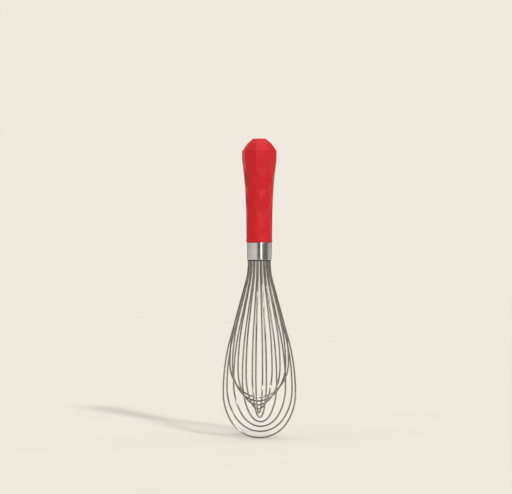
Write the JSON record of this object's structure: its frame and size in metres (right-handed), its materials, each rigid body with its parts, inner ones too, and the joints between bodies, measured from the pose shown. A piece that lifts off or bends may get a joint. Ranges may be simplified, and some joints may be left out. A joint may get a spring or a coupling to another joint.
{
  "type": "balloon whisk",
  "caption": "Balloon whisk with a faceted silicone handle, a steel ferrule and nested wire loops that cross on the axis, for beating air into batters and creams.",
  "frame": {"origin": "lowest point of the wires, on the whisk's axis, with the whisk upright and its handle up", "axes": "+Z along the axis towards the handle's end; the front, seen in the usual view, faces -Y, and the longest loop lies close to the XZ plane"},
  "size_m": [0.0702, 0.0638, 0.2845],
  "materials": {
    "grip_silicone": "matt red silicone rubber",
    "core_plastic": "moulded, plain",
    "ferrule_steel": "satin stainless steel, brushed round",
    "hub_plastic": "moulded, plain",
    "seal_resin": "cast dark resin",
    "wire_steel": "drawn stainless steel wire, softly polished"
  },
  "bodies": {
    "root": {"grip": "grip_silicone", "handle_core": "core_plastic", "ferrule": "ferrule_steel", "wire_hub": "hub_plastic", "mouth_seal": "seal_resin", "wire_loop_01": "wire_steel", "wire_loop_02": "wire_steel", "wire_loop_03": "wire_steel", "wire_loop_04": "wire_steel", "wire_loop_05": "wire_steel", "wire_loop_06": "wire_steel", "wire_loop_07": "wire_steel", "wire_loop_08": "wire_steel", "wire_loop_09": "wire_steel", "wire_loop_10": "wire_steel"}
  },
  "joints": []
}
